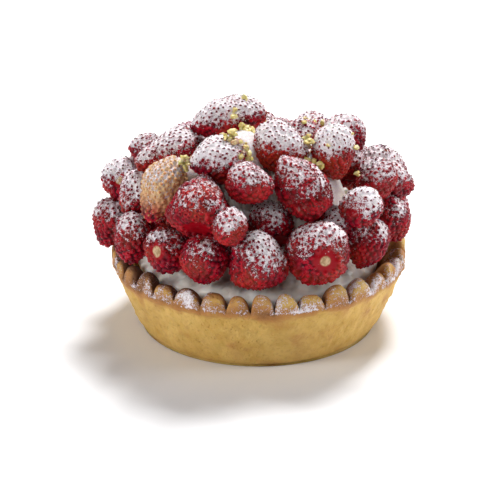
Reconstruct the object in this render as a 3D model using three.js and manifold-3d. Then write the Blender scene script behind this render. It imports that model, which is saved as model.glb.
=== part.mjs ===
// Strawberry tart: a shortcrust shell with a crimped rim, a mound of cream in it, and wild strawberries
// heaped over the cream. Each berry, the cream and the shell are solids of their own. Millimetres, +Z up.
// The origin is the centre of the flat underside. Azimuths are in degrees about the tart's axis: 0 is the
// front (-Y), 90 the right (+X), 180 the back.
import * as THREE from "three";
import { mergeVertices } from "three/addons/utils/BufferGeometryUtils.js";
import Module from "manifold-3d";

const wasm = await Module();
wasm.setup();

// Driving dimensions.
const CLEARANCE = 0.3; // between pieces that touch on the real tart
const BASE_RADIUS = 30.5; // flat underside
const RIM_RADIUS = 40; // outside of the crimped rim
const FLOOR_THICKNESS = 4.5;
const RIDGE_COUNT = 36; // pinched ridges round the rim
const RIDGE_START = -3.6; // azimuth of the groove where the ridges are counted from
const RIDGE_STEPS = [0, 0.24, 0.76]; // mesh columns across a ridge, as shares: one in its groove, two on it
const GROOVE_HEIGHT = 17.9; // bottom of the grooves between the ridges
const RIDGE_HEIGHT = 22.5; // crest of the ridges
const CREAM_EDGE = 18.4; // where the cream meets the rim
const CREAM_HEIGHT = 49; // top of the cream mound
const CREAM_SEGMENTS = 24;
const BERRY_SEGMENTS = 8;
const BERRY_RINGS = 5;

// A berry's outline: the radius at a share t of the way from its stem end to its tip is half its width
// times sin(pi t^SHOULDER)^FULLNESS, so the widest place lies nearer the stem end and both ends are round.
const SHOULDER = 0.78;
const FULLNESS = 0.62;

// The heap, as it was laid: tiers of berries from the rim up. A berry's place is its azimuth, its distance
// from the tart's axis and the height of its middle; its size is its length and width; its tip points at a
// bearing and a lift above the horizon.
const HEAP = {
  rim: [
    { at: [-85, 37, 30], size: [13, 9.5], tip: [-85, -75] },
    { at: [-63, 35.5, 30], size: [13, 10], tip: [-30, -70] },
    { at: [-44, 32.8, 29.2], size: [12.5, 11.3], tip: [150, -14] },
    { at: [-23.5, 33, 29], size: [13.5, 12], tip: [165, -72] },
    { at: [-3, 33.4, 27.8], size: [15, 14.2], tip: [-20, 65] },
    { at: [27, 33, 30], size: [14.5, 15.8], tip: [-166, -2] },
    { at: [55.5, 34.4, 29.4], size: [13.5, 11], tip: [-45, -62] },
    { at: [81, 35.5, 30.2], size: [13, 10], tip: [90, -70] },
    { at: [101, 36, 29], size: [13, 11.5], tip: [120, -30] },
    { at: [122, 35, 28.8], size: [14, 12], tip: [100, -55] },
    { at: [143, 35, 28.6], size: [12.5, 12], tip: [-30, 10] },
    { at: [164, 35, 28.8], size: [14.5, 12.5], tip: [180, -40] },
    { at: [-174, 35, 29], size: [12, 11], tip: [60, 20] },
    { at: [-151, 36, 28.8], size: [13.5, 12.5], tip: [-140, -60] },
    { at: [-130, 34.8, 28.8], size: [13, 11.8], tip: [20, -15] },
    { at: [-107, 36.5, 29.2], size: [13, 11], tip: [-110, -35] },
  ],
  shoulder: [
    { at: [-87.5, 35.5, 37], size: [12.5, 11], tip: [162, -20] },
    { at: [-70, 33.1, 37.2], size: [12.5, 10], tip: [-40, -30] },
    { at: [-58, 28, 32.2], size: [10, 9], tip: [-60, 20] },
    { at: [-48.5, 31.2, 43.8], size: [16.8, 10.8], tip: [-35, -50], unripe: true },
    { at: [-26, 30.8, 42.8], size: [14.5, 15.2], tip: [170, 42] },
    { at: [-12.5, 34.6, 39.4], size: [9, 8.6], tip: [-12, 0] },
    { at: [5, 23.1, 34.8], size: [12, 11.6], tip: [-150, 30] },
    { at: [25, 25.6, 45.8], size: [17.5, 12], tip: [-114, 50] },
    { at: [44, 27.5, 34], size: [11, 9.5], tip: [90, 10] },
    { at: [52, 34.2, 37.5], size: [11, 9.8], tip: [147, -25] },
    { at: [76.5, 31.9, 42.5], size: [11, 10.6], tip: [142, -12] },
    { at: [91, 36.4, 38.2], size: [11, 9], tip: [110, -20] },
    { at: [107, 35.7, 39], size: [13.5, 11], tip: [90, -20] },
    { at: [130, 31, 37.5], size: [13.5, 12], tip: [-60, 15] },
    { at: [152, 30.5, 37], size: [12.5, 11.5], tip: [150, -45] },
    { at: [174, 30.5, 37], size: [14, 12], tip: [-170, -20] },
    { at: [-164, 31, 37.2], size: [12, 11], tip: [40, 25] },
    { at: [-141, 31.5, 37.5], size: [14, 12.5], tip: [-120, -50] },
    { at: [-116, 33, 38.5], size: [12.5, 11.5], tip: [-90, -10] },
  ],
  upper: [
    { at: [-91, 29, 46.6], size: [10.5, 9.5], tip: [-100, 10] },
    { at: [-76, 24.8, 49.2], size: [17.5, 9.8], tip: [-61, -17] },
    { at: [-105, 19, 47.5], size: [12, 10.5], tip: [-150, -20] },
    { at: [-27.5, 22.4, 50.1], size: [14, 11.6], tip: [-80, -8] },
    { at: [-6.5, 25.6, 48.5], size: [11.6, 9.8], tip: [80, -12] },
    { at: [59.5, 22.3, 51.2], size: [13, 10.8], tip: [60, -78] },
    { at: [112, 23.5, 48], size: [12.5, 11], tip: [80, -60] },
    { at: [136, 22.5, 43.8], size: [13, 11.5], tip: [150, -30] },
    { at: [164, 21.5, 43.4], size: [12.5, 11.5], tip: [-30, 10] },
    { at: [-166, 21.5, 43.8], size: [13.5, 12], tip: [170, -35] },
    { at: [-130, 25.5, 41], size: [13, 11], tip: [-140, -25] },
    { at: [88, 23, 44], size: [11.5, 10.5], tip: [100, -20] },
  ],
  crown: [
    { at: [-86, 7.6, 56.5], size: [19.5, 11.4], tip: [-78, -8] },
    { at: [24.5, 13.4, 52.7], size: [14, 12.4], tip: [75, -15] },
    { at: [170, 10.5, 49], size: [12, 10.5], tip: [40, 10] },
    { at: [124, 14, 48.8], size: [12.5, 10.5], tip: [120, -20] },
    { at: [-135, 13, 49.5], size: [12, 11], tip: [-170, -15] },
  ],
};

// Spoonfuls of cream that stand proud of the mound: azimuth, distance from the axis, height and radius.
const DOLLOPS = [
  { at: [64, 20, 42.5], radius: 9 },
  { at: [-58, 20, 41], radius: 8.5 },
];

const SETTLE_ROUNDS = 400; // passes in which the berries are eased apart
const HOMING_ROUNDS = 300; // of those, the passes in which each is also drawn back to where it was laid
const HOMING = 0.04; // share of the way back in each of those passes
const NEAR = 22; // berries whose middles are further apart than this can't touch

const rad = THREE.MathUtils.degToRad;

// A unit vector at a bearing, lifted above the horizon.
function direction(bearing, lift) {
  const b = rad(bearing);
  const e = rad(lift);
  return new THREE.Vector3(Math.sin(b) * Math.cos(e), -Math.cos(b) * Math.cos(e), Math.sin(e));
}

// The point at a distance from the tart's axis and a height.
function place(azimuth, radius, height) {
  return direction(azimuth, 0).multiplyScalar(radius).setZ(height);
}

// A berry's outline from its stem end to its tip, as points of radius and distance along its axis from its
// middle.
function berryOutline(length, width) {
  const outline = [new THREE.Vector2(0, -length / 2)];
  for (let ring = 1; ring <= BERRY_RINGS; ring++) {
    const t = (1 - Math.cos((Math.PI * ring) / (BERRY_RINGS + 1))) / 2;
    const radius = (width / 2) * Math.sin(Math.PI * t ** SHOULDER) ** FULLNESS;
    outline.push(new THREE.Vector2(radius, (t - 0.5) * length));
  }
  outline.push(new THREE.Vector2(0, length / 2));
  return outline;
}

// The furthest point of a body of revolution in a direction.
function furthest(body, towards) {
  const along = body.axis.dot(towards);
  const across = towards.clone().addScaledVector(body.axis, -along);
  const slope = across.length();
  if (slope > 1e-6) across.divideScalar(slope);
  let best = body.outline[0];
  for (const p of body.outline)
    if (p.x * slope + p.y * along > best.x * slope + best.y * along) best = p;
  return body.centre.clone().addScaledVector(body.axis, best.y).addScaledVector(across, best.x);
}

// How far two bodies run into each other, less than 0 where they are apart, and the direction that parts
// them with the least movement. It turns the direction, step by step, towards the gap between the bodies'
// facing points.
function overlap(a, b) {
  const turn = 0.12;
  const towards = b.centre.clone().sub(a.centre).normalize();
  let least = { depth: Infinity, towards };
  for (let step = 0; step < 8; step++) {
    const gap = furthest(b, towards.clone().negate()).sub(furthest(a, towards));
    const depth = -gap.dot(towards);
    if (depth < least.depth) least = { depth, towards: towards.clone() };
    towards.addScaledVector(gap, turn / Math.max(1, gap.length())).normalize();
  }
  return least;
}

// The rim beside a berry, as an upright drum as thick as the rim and as high as its tallest ridge.
function rimBeside(berry) {
  const top = RIDGE_HEIGHT + 0.8;
  const azimuth = THREE.MathUtils.radToDeg(Math.atan2(berry.centre.x, -berry.centre.y));
  const outline = [new THREE.Vector2(3, -6), new THREE.Vector2(3, -2.8), new THREE.Vector2(2, 0)];
  return { centre: place(azimuth, RIM_RADIUS - 3.4, top), axis: new THREE.Vector3(0, 0, 1), outline };
}

// Eases the berries apart until each has its clearance from the others and from the rim.
function settle(berries) {
  for (let round = 0; round < SETTLE_ROUNDS; round++) {
    if (round < HOMING_ROUNDS) for (const berry of berries) berry.centre.lerp(berry.home, HOMING);
    berries.forEach((a, i) => {
      for (const b of berries.slice(i + 1)) {
        if (a.centre.distanceTo(b.centre) > NEAR) continue;
        const { depth, towards } = overlap(a, b);
        const push = Math.max(0, depth + CLEARANCE) / 2;
        a.centre.addScaledVector(towards, -push);
        b.centre.addScaledVector(towards, push);
      }
      const { depth, towards } = overlap(rimBeside(a), a);
      a.centre.addScaledVector(towards, Math.max(0, depth + CLEARANCE));
    });
  }
}

// A closed solid of revolution about +Z from an outline that starts and ends on the axis.
function turned(outline, segments) {
  return new THREE.LatheGeometry(outline, segments).rotateX(Math.PI / 2);
}

// The crust: a turned cup whose rim is then pinched. Each outline point has its radius, its height in a
// groove, and how far a ridge lifts it and brings it out.
function shellGeometry() {
  const lift = RIDGE_HEIGHT - GROOVE_HEIGHT;
  const outline = [
    [0, 0, 0, 0],
    [BASE_RADIUS, 0, 0, 0],
    [BASE_RADIUS + 3, 2, 0, 0],
    [BASE_RADIUS + 4.5, 8.5, 0, 0],
    [RIM_RADIUS - 2, 14.8, 0, 0],
    [RIM_RADIUS - 0.9, 17.2, 0.3 * lift, 0.9],
    [RIM_RADIUS - 1.6, GROOVE_HEIGHT, 0.85 * lift, 1.1],
    [RIM_RADIUS - 3, GROOVE_HEIGHT + 0.2, lift - 0.2, 0],
    [RIM_RADIUS - 5.6, GROOVE_HEIGHT + 0.1, 0.85 * lift, 0],
    [RIM_RADIUS - 6.8, GROOVE_HEIGHT - 0.4, 0.4 * lift, 0],
    [RIM_RADIUS - 8, 14.3, 0, 0],
    [BASE_RADIUS - 1.5, FLOOR_THICKNESS, 0, 0],
    [0, FLOOR_THICKNESS, 0, 0],
  ];
  const columns = RIDGE_COUNT * RIDGE_STEPS.length;
  const profile = outline.map(([radius, height]) => new THREE.Vector2(radius, height));
  const geometry = turned(profile, columns);
  const position = geometry.getAttribute("position");
  for (let i = 0; i < position.count; i++) {
    const [radius, height, rise, reach] = outline[i % outline.length];
    const column = Math.floor(i / outline.length) % columns;
    const step = column % RIDGE_STEPS.length;
    const ridge = Math.floor(column / RIDGE_STEPS.length);
    const onRidge = step === 0 ? 0 : 1 + 0.1 * Math.sin(2.3 * ridge) + 0.06 * Math.sin(5.1 * ridge);
    const azimuth = RIDGE_START + ((ridge + RIDGE_STEPS[step]) * 360) / RIDGE_COUNT;
    const outward = radius + Math.min(reach, reach * onRidge);
    position.setXYZ(i, ...place(azimuth, outward, height + rise * onRidge).toArray());
  }
  return geometry;
}

// The cream: it fills the shell, clear of its wall, and rises as a mound under the berries. The mound is
// fuller towards the front and wider from side to side than it is from front to back.
function moundGeometry() {
  const outline = [
    [0, FLOOR_THICKNESS + CLEARANCE],
    [BASE_RADIUS - 2, FLOOR_THICKNESS + CLEARANCE],
    [RIM_RADIUS - 8.5, 14.3],
    [RIM_RADIUS - 7.5, CREAM_EDGE],
    [RIM_RADIUS - 8.6, CREAM_EDGE + 2],
    [29, 24],
    [26.8, 30],
    [23.6, 36],
    [18.6, 41.5],
    [11.5, CREAM_HEIGHT - 2.4],
    [5, CREAM_HEIGHT - 0.4],
    [0, CREAM_HEIGHT],
  ];
  const profile = outline.map(([radius, height]) => new THREE.Vector2(radius, height));
  const geometry = turned(profile, CREAM_SEGMENTS);
  const position = geometry.getAttribute("position");
  for (let i = 0; i < position.count; i++) {
    const above = Math.max(0, position.getZ(i) - CREAM_EDGE);
    const forward = -position.getY(i) / BASE_RADIUS;
    position.setX(i, position.getX(i) * (1 + 0.005 * above));
    position.setZ(i, position.getZ(i) + 0.14 * above * forward);
  }
  return geometry;
}

// A three.js geometry as a solid, and a solid as a three.js geometry.
function solidOf(geometry, matrix = new THREE.Matrix4()) {
  const bare = geometry.clone().applyMatrix4(matrix);
  bare.deleteAttribute("normal");
  bare.deleteAttribute("uv");
  const merged = mergeVertices(bare, 1e-4);
  return new wasm.Manifold(
    new wasm.Mesh({
      numProp: 3,
      vertProperties: new Float32Array(merged.getAttribute("position").array),
      triVerts: new Uint32Array(merged.index.array),
    }),
  );
}

function geometryOf(solid) {
  const mesh = solid.getMesh();
  const geometry = new THREE.BufferGeometry();
  geometry.setAttribute("position", new THREE.BufferAttribute(mesh.vertProperties, 3));
  geometry.setIndex(new THREE.BufferAttribute(mesh.triVerts, 1));
  geometry.computeVertexNormals();
  return geometry;
}

// A berry's solid stands along +Z, tip up, so this turns it to its own axis and sets it in its place.
function poseOf(berry) {
  const turn = new THREE.Quaternion().setFromUnitVectors(new THREE.Vector3(0, 0, 1), berry.axis);
  return new THREE.Matrix4().compose(berry.centre, turn, new THREE.Vector3(1, 1, 1));
}

// The cream with its spoonfuls added and a hollow pressed in it by each berry.
function creamGeometry(berries) {
  let cream = solidOf(moundGeometry());
  for (const { at, radius } of DOLLOPS) {
    const ball = new THREE.SphereGeometry(radius, 16, 10).translate(...place(...at).toArray());
    cream = cream.add(solidOf(ball));
  }
  for (const berry of berries) {
    const [length, width] = berry.size.map((side) => side + 2 * CLEARANCE);
    cream = cream.subtract(solidOf(turned(berryOutline(length, width), BERRY_SEGMENTS), poseOf(berry)));
  }
  return geometryOf(cream);
}

const material = (color, roughness) => new THREE.MeshStandardMaterial({ color, roughness, metalness: 0 });
const crust = material(0xd8b377, 0.85);
const cream = material(0xf4eee6, 0.55);
const ripe = material(0xa3161f, 0.35);
const unripe = material(0xe0bf8d, 0.45);

const berries = Object.entries(HEAP).flatMap(([tier, laid]) =>
  laid.map(({ at, size, tip, unripe: pale = false }, i) => ({
    name: `berry_${tier}_${String(i + 1).padStart(2, "0")}`,
    size,
    pale,
    home: place(...at),
    centre: place(...at),
    axis: direction(...tip),
    outline: berryOutline(...size),
  })),
);
settle(berries);

const tart = new THREE.Group();

function add(name, geometry, finish) {
  const mesh = new THREE.Mesh(geometry, finish);
  mesh.name = name;
  tart.add(mesh);
  return mesh;
}

add("crust_shell", shellGeometry(), crust);
add("cream_filling", creamGeometry(berries), cream);
for (const berry of berries) {
  const mesh = add(berry.name, turned(berry.outline, BERRY_SEGMENTS), berry.pale ? unripe : ripe);
  mesh.applyMatrix4(poseOf(berry));
}

export default tart;
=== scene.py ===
# %% [markdown]
# # A strawberry tart
# A shortcrust shell with a crimped rim holds a mound of cream, and wild strawberries are heaped over the
# cream. Powdered sugar and chopped pistachios have been sprinkled on top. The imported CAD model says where
# everything is. This notebook makes every surface that shows, in metres, in the same frame: +Z is up, the
# front is -Y, and the origin is the middle of the flat underside.

import math

import bpy
import numpy as np
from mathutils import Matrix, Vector


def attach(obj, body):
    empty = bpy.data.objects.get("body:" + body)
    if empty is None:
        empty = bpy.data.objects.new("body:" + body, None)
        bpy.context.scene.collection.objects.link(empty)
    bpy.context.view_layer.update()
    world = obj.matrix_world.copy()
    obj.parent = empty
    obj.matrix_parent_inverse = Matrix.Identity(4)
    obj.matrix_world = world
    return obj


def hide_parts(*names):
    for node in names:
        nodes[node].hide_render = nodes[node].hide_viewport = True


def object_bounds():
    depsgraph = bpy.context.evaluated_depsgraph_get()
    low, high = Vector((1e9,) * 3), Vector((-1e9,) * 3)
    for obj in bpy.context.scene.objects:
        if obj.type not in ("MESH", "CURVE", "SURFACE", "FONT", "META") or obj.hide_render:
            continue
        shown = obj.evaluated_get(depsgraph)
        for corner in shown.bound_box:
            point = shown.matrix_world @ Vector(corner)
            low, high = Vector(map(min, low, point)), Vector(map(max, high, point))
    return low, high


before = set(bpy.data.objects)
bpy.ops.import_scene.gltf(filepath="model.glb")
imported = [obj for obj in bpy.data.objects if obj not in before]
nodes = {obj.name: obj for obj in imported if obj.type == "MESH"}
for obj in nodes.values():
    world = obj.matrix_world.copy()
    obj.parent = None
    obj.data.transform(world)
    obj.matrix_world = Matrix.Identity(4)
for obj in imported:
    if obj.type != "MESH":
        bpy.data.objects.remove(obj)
cad_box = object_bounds()
MM = 0.001
tart_height = (cad_box[1].z - cad_box[0].z) / MM
print("solids in the frame:", len(nodes), "- tart height in mm:", round(tart_height, 1))

# %% [markdown]
# ## The camera
# A cake looks its best from a little above the table. A short lens close by would swell the front of the
# rim, so this one is long and stands further off, and near and far berries keep much the same size. The
# camera is made first.

# %% Camera
CAMERA_DISTANCE = 0.42
CAMERA_ELEVATION = math.radians(22.5)
CAMERA_AIM = Vector((-0.0026, 0.0, 0.0196))

camera = bpy.data.objects.new("camera", bpy.data.cameras.new("camera"))
camera.data.angle = math.radians(18.22)
camera.data.clip_start = 0.01
back = Vector((0, -math.cos(CAMERA_ELEVATION), math.sin(CAMERA_ELEVATION)))
camera.location = CAMERA_AIM + back * CAMERA_DISTANCE
camera.rotation_euler = back.to_track_quat("Z", "Y").to_euler()
bpy.context.scene.collection.objects.link(camera)
bpy.context.scene.camera = camera
print("camera lens in mm:", round(camera.data.lens, 1))

# %% [markdown]
# ## Light
# Fruit and cream look fresh when most of the light comes from behind and above: it whitens the sugar,
# shines through the edges of the berries and leaves their fronts deep red. Two wide lights at the sides
# open the shadows of the crust, and a weak one at the front puts small soft highlights on the fruit. One
# bright lamp would be simpler, but it would leave hard shadows between the berries.

# %% Lights
def softbox(name, place, width, power):
    """A square light of the given width at a place, turned to face the middle of the tart."""
    lamp = bpy.data.lights.new(name, "AREA")
    lamp.size = width
    lamp.energy = power
    light = bpy.data.objects.new(name, lamp)
    light.location = place
    light.rotation_euler = (Vector(place) - Vector((0, 0, 0.03))).to_track_quat("Z", "Y").to_euler()
    bpy.context.scene.collection.objects.link(light)


softbox("light_behind", (0.25, 0.7, 1.25), 0.5, 30)
softbox("light_left", (-1.2, -0.55, 0.6), 0.45, 9)
softbox("light_right", (1.3, -0.1, 0.5), 0.5, 7.5)
softbox("light_front", (-0.35, -1.3, 0.8), 0.3, 2.2)

world = bpy.data.worlds.new("studio")
world.use_nodes = True
world.node_tree.nodes["Background"].inputs["Color"].default_value = (1, 1, 1, 1)
world.node_tree.nodes["Background"].inputs["Strength"].default_value = 0.16
bpy.context.scene.world = world
bpy.context.scene.view_settings.view_transform = "Standard"

# %% [markdown]
# ## Tools for shapes
# Every piece below is a grid of points worked out with numpy: rings of points, one above another, closed at
# each end by a single point. Blender's own spheres and modifiers could make rounder or rougher copies of
# one another, but a grid puts every bead and every crimp where a formula says. One function puts such a
# grid into a mesh, so each piece only has to say where its points go.

# %% Rings of points to a mesh
def ring_faces(rows, columns):
    """Quads between each ring and the next, then a fan of triangles from the first ring to the point that
    follows the rings, and one from the last ring to the point after it. Returns the corners of the quads
    and the triangles."""
    row = np.arange(rows - 1)[:, None] * columns
    here = np.arange(columns)
    following = (here + 1) % columns
    quads = np.stack([row + here, row + following, row + columns + following, row + columns + here], -1)
    start = np.full(columns, rows * columns)
    top = (rows - 1) * columns
    fans = np.concatenate([
        np.stack([following, here, start], -1),
        np.stack([top + here, top + following, start + 1], -1),
    ])
    return quads.reshape(-1, 4), fans


def make_piece(name, points, quads, triangles, finish, fields=None):
    """A smooth mesh from points, in metres, and the corners of its faces, with one value a point for each
    field."""
    mesh = bpy.data.meshes.new(name)
    corners = np.concatenate([np.ravel(quads), np.ravel(triangles)]).astype(np.int32)
    sizes = np.concatenate([np.full(len(quads), 4), np.full(len(triangles), 3)])
    mesh.vertices.add(len(points))
    mesh.vertices.foreach_set("co", np.ravel(points).astype(np.float32))
    mesh.loops.add(len(corners))
    mesh.loops.foreach_set("vertex_index", corners)
    mesh.polygons.add(len(sizes))
    mesh.polygons.foreach_set("loop_start", (np.cumsum(sizes) - sizes).astype(np.int32))
    mesh.polygons.foreach_set("use_smooth", np.ones(len(sizes), bool))
    mesh.update(calc_edges=True)
    for label, values in (fields or {}).items():
        mesh.attributes.new(label, "FLOAT", "POINT").data.foreach_set("value", values.astype(np.float32))
    mesh.materials.append(finish)
    piece = bpy.data.objects.new(name, mesh)
    bpy.context.scene.collection.objects.link(piece)
    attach(piece, "root")
    return piece


print("quads and triangles of three rings of four points:", [len(f) for f in ring_faces(3, 4)])

# %% Unevenness
def ripples(points, size, seed):
    """Soft lumps: 14 sine waves that run in random directions, each about `size` from crest to crest, added
    together and scaled so that most values lie between -1 and 1."""
    rng = np.random.default_rng(seed)
    direction = rng.normal(size=(14, 3))
    direction /= np.linalg.norm(direction, axis=1, keepdims=True)
    direction *= 2 * np.pi / (size * rng.uniform(0.7, 1.5, (14, 1)))
    return np.sin(points @ direction.T + rng.uniform(0, 2 * np.pi, 14)).sum(1) / 4


def ease(low, high, x):
    """0 below low, 1 above high, and a smooth S between them."""
    share = np.clip((x - low) / (high - low), 0, 1)
    return share * share * (3 - 2 * share)


def smooth_path(stations, count):
    """A smooth curve through the stations, as `count` points spaced evenly along it: a Catmull-Rom spline,
    where each stretch is a cubic that leaves a station in the direction of the line between its two
    neighbours."""
    stations = np.asarray(stations, float)
    padded = np.concatenate([[2 * stations[0] - stations[1]], stations, [2 * stations[-1] - stations[-2]]])
    before, start, end, after = (padded[i : len(padded) - 3 + i, None] for i in range(4))
    s = np.linspace(0, 1, 60, endpoint=False)[None, :, None]
    squared = 2 * before - 5 * start + 4 * end - after
    cubed = 3 * (start - end) + after - before
    curve = start + 0.5 * s * (end - before + s * (squared + s * cubed))
    curve = np.concatenate([curve.reshape(-1, stations.shape[1]), stations[-1:]])
    length = np.concatenate([[0], np.cumsum(np.linalg.norm(np.diff(curve, axis=0), axis=1))])
    even = np.linspace(0, length[-1], count)
    return np.stack([np.interp(even, length, curve[:, k]) for k in range(curve.shape[1])], 1)


sample = ripples(np.random.default_rng(1).normal(size=(999, 3)), 1, 1)
print("a ripple field runs from", sample.min().round(2), "to", sample.max().round(2))

# %% [markdown]
# ## Tools for finishes
# A finish is a small network of shader nodes. Painted textures could show the same, but nodes stay sharp
# close up, and the helpers below keep each step of a recipe to one line. Powdered sugar lies on the
# berries, the crust, the cream and the nuts alike, so its speckled edge is one node group that each of them
# uses with its own amount.

# %% A shorthand for nodes
def node(tree, kind, inputs=None, **settings):
    """Adds a node. Each input takes either a plain value or the output of another node."""
    made = tree.nodes.new(kind)
    for key, value in settings.items():
        setattr(made, key, value)
    for key, value in (inputs or {}).items():
        if isinstance(value, bpy.types.NodeSocket):
            tree.links.new(value, made.inputs[key])
        else:
            made.inputs[key].default_value = value
    return made


def arithmetic(tree, operation, a, b, clamp=False):
    """The result of a Math node on two values."""
    return node(tree, "ShaderNodeMath", {0: a, 1: b}, operation=operation, use_clamp=clamp).outputs[0]


def blend_colours(tree, share, a, b):
    """Colour a turning into colour b as share goes from 0 to 1."""
    mixed = node(tree, "ShaderNodeMix", {0: share, 6: a, 7: b}, data_type="RGBA")
    return mixed.outputs[2]


def grain(tree, size, detail=2.0, roughness=0.5):
    """Cloudy noise on the object's own coordinates, whose blotches are about `size` metres across."""
    place = node(tree, "ShaderNodeTexCoord").outputs["Object"]
    values = {"Vector": place, "Scale": 1 / size, "Detail": detail, "Roughness": roughness}
    return node(tree, "ShaderNodeTexNoise", values).outputs["Fac"]


def stretch(tree, value, low, high, to_low=0.0, to_high=1.0):
    """Turns the range low to high into to_low to to_high, with soft ends."""
    values = {"Value": value, "From Min": low, "From Max": high, "To Min": to_low, "To Max": to_high}
    return node(tree, "ShaderNodeMapRange", values, interpolation_type="SMOOTHSTEP").outputs["Result"]


def field(tree, name):
    """A value that the piece's mesh carries at each point."""
    return node(tree, "ShaderNodeAttribute", attribute_name=name).outputs["Fac"]


# %% Powdered sugar as a node group
def powder_group():
    """Amount 0 leaves a surface bare and 1 covers it. Between them, fine and coarse noise are compared with
    the amount, so that the sugar thins out into flecks, as it does when it is shaken through a sieve."""
    group = bpy.data.node_groups.new("powdered sugar", "ShaderNodeTree")
    group.interface.new_socket("Amount", in_out="INPUT", socket_type="NodeSocketFloat")
    group.interface.new_socket("Cover", in_out="OUTPUT", socket_type="NodeSocketFloat")
    group.interface.new_socket("Colour", in_out="OUTPUT", socket_type="NodeSocketColor")
    amount = group.nodes.new("NodeGroupInput").outputs["Amount"]
    fine = arithmetic(group, "MULTIPLY", grain(group, 0.3 * MM, 1.0), 0.6)
    coarse = arithmetic(group, "MULTIPLY", grain(group, 0.9 * MM, 2.0), 0.4)
    speckle = arithmetic(group, "ADD", fine, coarse)
    limits = {"Value": amount, "To Min": 0.74, "To Max": 0.34}
    threshold = node(group, "ShaderNodeMapRange", limits).outputs["Result"]
    above = arithmetic(group, "SUBTRACT", speckle, threshold)
    cover = arithmetic(group, "MULTIPLY", stretch(group, above, -0.03, 0.06), 0.93)
    thick = stretch(group, above, 0.0, 0.2)
    colour = blend_colours(group, thick, (0.66, 0.53, 0.58, 1), (0.90, 0.87, 0.89, 1))
    result = group.nodes.new("NodeGroupOutput")
    group.links.new(cover, result.inputs["Cover"])
    group.links.new(colour, result.inputs["Colour"])
    return group


POWDER = powder_group()


def sugared(tree, amount):
    """Places the sugar group in a finish and returns its cover and its colour."""
    placed = node(tree, "ShaderNodeGroup", node_tree=POWDER)
    tree.links.new(amount, placed.inputs["Amount"])
    return placed.outputs["Cover"], placed.outputs["Colour"]


print("nodes in the sugar group:", len(POWDER.nodes))

# %% An empty finish
def new_finish(name, **constants):
    """An empty finish with its Principled shader, and the values that are the same all over it."""
    finish = bpy.data.materials.new(name)
    finish.use_nodes = True
    shader = finish.node_tree.nodes["Principled BSDF"]
    for key, value in constants.items():
        shader.inputs[key.replace("_", " ")].default_value = value
    return finish, finish.node_tree, shader


def raise_surface(tree, shader, height, distance):
    """Bumps a finish by a height field; distance is how far a height of 1 stands up, in metres."""
    bump = node(tree, "ShaderNodeBump", {"Height": height, "Distance": distance, "Strength": 1.0})
    tree.links.new(bump.outputs["Normal"], shader.inputs["Normal"])


# %% Finish of a berry's skin
def berry_skin(name, flesh, deep, roughness):
    """Two reds clouded together, with painted shade that darkens them to near black between the beads, then
    what the mesh says of each point: more orange where it is warm, buff where the berry is unripe, with
    painted shade between its beads too, a dark red painted shade on the bare ring in the dent round the
    stem, and corky on the scar of the stem, with sugar over all of it. The skin is a little glossy and the
    sugar is dull."""
    finish, tree, shader = new_finish(
        name,
        Subsurface_Weight=0.05,
        Subsurface_Scale=0.8 * MM,
        Coat_Roughness=0.15,
        Specular_IOR_Level=0.08,
    )
    shader.inputs["Subsurface Radius"].default_value = (1.0, 0.25, 0.18)
    clouds = stretch(tree, grain(tree, 3.5 * MM, 3.0), 0.38, 0.62)
    red = blend_colours(tree, clouds, deep, flesh)
    raised = stretch(tree, field(tree, "bead"), 0.1, 0.8)
    # Painted shade: between the beads the red turns near black, as if in their shade.
    between = blend_colours(tree, raised, (0.07, 0.001, 0.006, 1), red)
    warm = blend_colours(tree, field(tree, "warmth"), between, (0.56, 0.065, 0.015, 1))
    # Painted shade on the unripe berry too: the buff is darker between the beads than on them.
    buff = blend_colours(tree, field(tree, "bead"), (0.56, 0.27, 0.12, 1), (0.80, 0.56, 0.29, 1))
    pale = blend_colours(tree, field(tree, "paleness"), warm, buff)
    fibres = stretch(tree, grain(tree, 0.7 * MM, 3.0), 0.35, 0.65)
    corky = blend_colours(tree, fibres, (0.36, 0.22, 0.11, 1), (0.62, 0.45, 0.27, 1))
    # Painted shade: the bare ring round the stem sits in a dent and is painted dark red.
    ringed = blend_colours(tree, field(tree, "collar_shade"), pale, (0.30, 0.002, 0.008, 1))
    scarred = blend_colours(tree, field(tree, "scar"), ringed, corky)
    cover, sugar = sugared(tree, field(tree, "powder"))
    tree.links.new(blend_colours(tree, cover, scarred, sugar), shader.inputs["Base Color"])
    tree.links.new(stretch(tree, cover, 0, 1, roughness, 0.9), shader.inputs["Roughness"])
    tree.links.new(stretch(tree, cover, 0, 1, 0.12, 0.0), shader.inputs["Coat Weight"])
    dimples = arithmetic(tree, "MULTIPLY", grain(tree, 0.5 * MM, 3.0), 0.35)
    raise_surface(tree, shader, arithmetic(tree, "ADD", cover, dimples), 0.11 * MM)
    return finish


ripe_skin = berry_skin("ripe strawberry skin", (0.39, 0.001, 0.017, 1), (0.17, 0.001, 0.012, 1), 0.3)
print("finishes so far:", [m.name for m in bpy.data.materials if m.users or m.use_nodes])

# %% [markdown]
# ## The berries
# A wild strawberry is a blunt cone, widest near its stem end, and covered with small hard seeds that stand
# out like beads. Each CAD berry is a turned solid with few faces; its two poles say where the stem and the
# tip are. One way would be to subdivide those solids, but a grid worked out afresh can carry the beads, a
# dent for the stem scar and a field that says how much sugar lies at each point.

# %% Read each berry's place from its solid
# Below 1, the first brings the widest ring nearer to the stem, and the second makes the outline fuller. A
# few berries are more or less conical than the rest and have a shoulder of their own.
SHOULDER = 0.78
FULLNESS = 0.62
OWN_SHOULDER = {
    "berry_shoulder_05": 0.52,
    "berry_rim_05": 0.66,
    "berry_shoulder_10": 0.6,
    "berry_crown_01": 0.9,
}


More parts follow.
